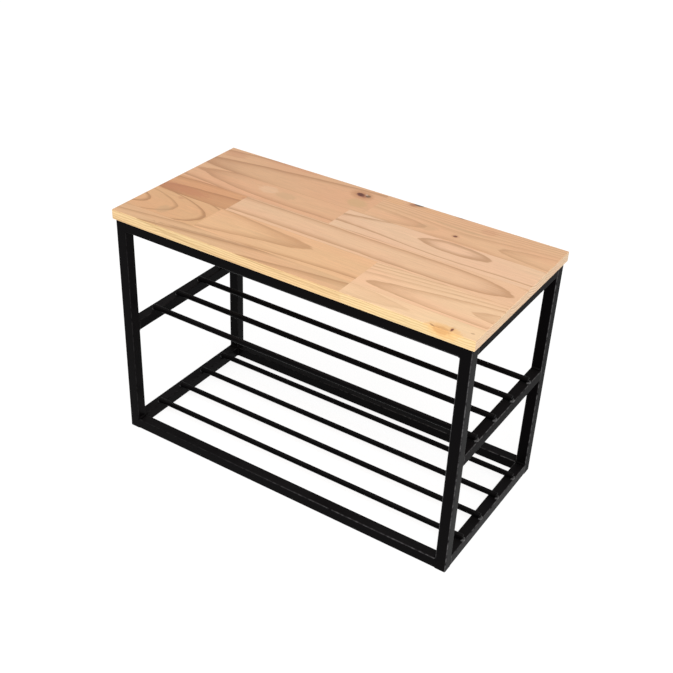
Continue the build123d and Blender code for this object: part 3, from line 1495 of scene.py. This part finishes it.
BLOCKS = {
    "back_stave_left": BlockGrain(
        -200.0, 104.0, 69.5, 17.0, 77.6, rise=-0.045, skew=0.05, late_from=0.6,
        tint=(0.92, 0.85, 0.79),
        marks=(
            Mark(
                -37.0, 138.0, 26.0, 17.0, 0.80, (0.36, 0.135, 0.075),
                halo=0.5, push=-2.0, turn=-0.3,
            ),
            Mark(-39.0, 138.5, 18.0, 12.0, 1.0, (0.115, 0.022, 0.008), turn=-0.3),
            Mark(-25.0, 140.0, 12.0, 10.0, 0.85, (0.13, 0.080, 0.040), halo=0.2),
            Mark(-30.0, 143.0, 6.0, 5.0, 0.5, (0.70, 0.60, 0.48)),
            Mark(-27.0, 106.0, 42.0, 34.0, 0.55, (0.56, 0.36, 0.165)),
            Mark(-318.0, 143.0, 60.0, 30.0, 0.30, RUST),
            Mark(-190.0, 160.0, 120.0, 12.0, 0.25, RUST),
        ),
    ),
    "back_stave_right": BlockGrain(
        178.0, 99.0, 67.8, 3.8, 72.6, skew=0.03, late_from=0.3, contrast=0.60,
        tint=(0.96, 0.92, 0.87), swirls=(Swirl(178.0, 130.0, 6.2),),
        marks=(
            Mark(167.4, 99.2, 8.0, 7.0, 1.0, halo=0.3),
            Mark(63.0, 165.0, 20.0, 11.0, 1.0, (0.060, 0.042, 0.032), halo=0.4, push=-1.0),
            Mark(54.0, 158.0, 14.0, 9.0, 0.65, (0.34, 0.13, 0.065), halo=0.2),
            Mark(145.0, 166.0, 13.0, 7.0, 1.0, halo=0.3),
            Mark(207.0, 145.0, 34.0, 20.0, 0.25, RUST),
            Mark(24.0, 152.0, 34.0, 20.0, 0.25, (0.74, 0.40, 0.16)),
            Mark(100.0, 156.0, 70.0, 16.0, 0.22, (0.74, 0.38, 0.16)),
            Mark(160.0, 128.0, 120.0, 10.0, 0.30, TAN, turn=-0.04),
            Mark(115.0, 101.0, 40.0, 24.0, 0.30, TAN),
        ),
    ),
    "inner_back_stave_left": BlockGrain(
        -180.0, 56.0, 67.5, 9.0, 76.0, tint=(0.95, 0.87, 0.81), swirls=(Swirl(-340.0, 110.0, 8.5),),
        marks=(
            Mark(-139.0, 53.0, 46.0, 24.0, 0.35, TAN),
            Mark(-178.0, 57.0, 40.0, 28.0, 0.28, CREAM),
        ),
    ),
    "inner_back_stave_right": BlockGrain(
        176.0, 58.5, 77.0, 8.0, 72.2, rise=-0.01, bow=-3e-4, late_from=0.75,
        tint=(1.02, 1.06, 1.12), swirls=(Swirl(176.0, 110.0, -7.0),),
    ),
    "middle_stave_left": BlockGrain(
        -250.0, -34.0, 68.8, 12.0, 72.0, rise=-0.028, skew=0.05, tint=(0.87, 0.72, 0.58),
        marks=(
            Mark(-310.0, -33.0, 150.0, 30.0, 0.55, (0.50, 0.19, 0.085)),
            Mark(-190.0, 2.5, 14.0, 7.0, 0.45, RUST),
        ),
    ),
    "middle_stave_right": BlockGrain(
        75.0, -19.5, 70.0, 9.0, 75.2, skew=-0.008, late_from=0.5,
        tint=(1.01, 1.02, 1.03), swirls=(Swirl(380.0, 90.0, 7.1),),
    ),
    "inner_front_stave_left": BlockGrain(
        -194.0, -100.0, 70.0, 12.0, 70.0, rise=0.2, late_from=0.75, tint=(0.92, 0.85, 0.72),
        marks=(
            Mark(-273.0, -113.0, 26.0, 32.0, 0.40, TAN),
            Mark(-277.0, -62.0, 14.0, 9.0, 0.35, RUST),
        ),
    ),
    "inner_front_stave_centre": BlockGrain(
        24.0, -79.0, 73.8, 12.0, 73.8, rise=0.02, bend=-1.6e-4, skew=0.04, late_from=0.5,
        tint=(1.00, 0.96, 0.86),
    ),
    "inner_front_stave_right": BlockGrain(
        129.0, -112.0, 72.0, 5.0, 72.0, rise=-0.031, skew=0.07, contrast=0.8,
        tint=(1.06, 1.10, 1.11),
    ),
    "front_stave_left": BlockGrain(
        -80.0, -200.0, 70.0, 15.9, 79.3, skew=0.14, late_from=0.5, tint=(0.93, 0.91, 0.82),
        marks=(Mark(-150.0, -143.5, 230.0, 8.0, 0.55, (0.42, 0.225, 0.105), turn=0.12),),
    ),
    "front_stave_right": BlockGrain(
        230.0, -150.0, 80.0, 5.0, 80.0, rise=0.02, contrast=0.3, tint=(1.08, 1.19, 1.19),
        marks=(
            Mark(288.0, -163.0, 64.0, 24.0, 0.60, (0.80, 0.44, 0.15)),
            Mark(284.0, -166.0, 30.0, 15.0, 0.55, (0.58, 0.27, 0.085)),
            Mark(269.5, -164.0, 12.0, 3.0, 0.65, (0.25, 0.10, 0.04), turn=-0.3),
            Mark(298.6, -158.5, 4.0, 10.0, 1.0, halo=0.3),
            Mark(327.0, -150.0, 7.0, 4.0, 0.38),
        ),
    ),
}


def main() -> None:
    """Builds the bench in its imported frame, then the studio round it."""
    logging.basicConfig(level=logging.INFO, format="%(name)s: %(message)s")

    seat = SeatPanel(BLOCKS)
    log.info("seat: %d blocks of pine", seat.dress())

    tubes = TubeFrame()
    edges = tubes.edges()
    paint = PowderCoatFinish().material("frame_paint", edges)
    # The weld beads' paint: lighter grey ramped towards the right end and much lighter on upward
    # faces, both painted highlight.
    bead_paint = PowderCoatFinish(
        bead_glint_share=1.0, dust_and_glint=(0.060, 0.058, 0.057), roughness=0.28, shine=0.2
    ).material("bead_paint", edges)
    flush_paint = PowderCoatFinish(edge_glint_share=0.0).material("flush_paint", edges)
    # A shaded copy of the paint with less shine, painting shade onto the back right leg and the
    # right rails.
    shaded_paint = PowderCoatFinish(shine=0.008).material("shaded_frame_paint", edges)
    log.info("frame: %d tubes", tubes.dress(paint, shaded_paint))

    rod_tree, bead_tree = RodTree(), BeadTree()
    shelves = [
        RodShelf(f"{level}_shelf_rods", tuple(f"{level}_shelf_rod_{i}" for i in range(1, 5)))
        for level in ("middle", "bottom")
    ]
    for shelf in shelves:
        piece = shelf.build(rod_tree, paint)
        log.info("%s: %d faces", piece.name, len(piece.data.polygons))
    for piece in FrameWelds().build(bead_tree, paint, flush_paint):
        log.info("%s: %d faces", piece.name, len(piece.data.polygons))
    piece = RodWelds().build(bead_tree, bead_paint, shelves)
    log.info("%s: %d faces", piece.name, len(piece.data.polygons))

    SeatScrews().dress()
    LegPlugs().dress()
    log.info("screws and plugs dressed")

    Studio().build()
    log.info("sizes written")


if __name__ == "__main__":
    main()
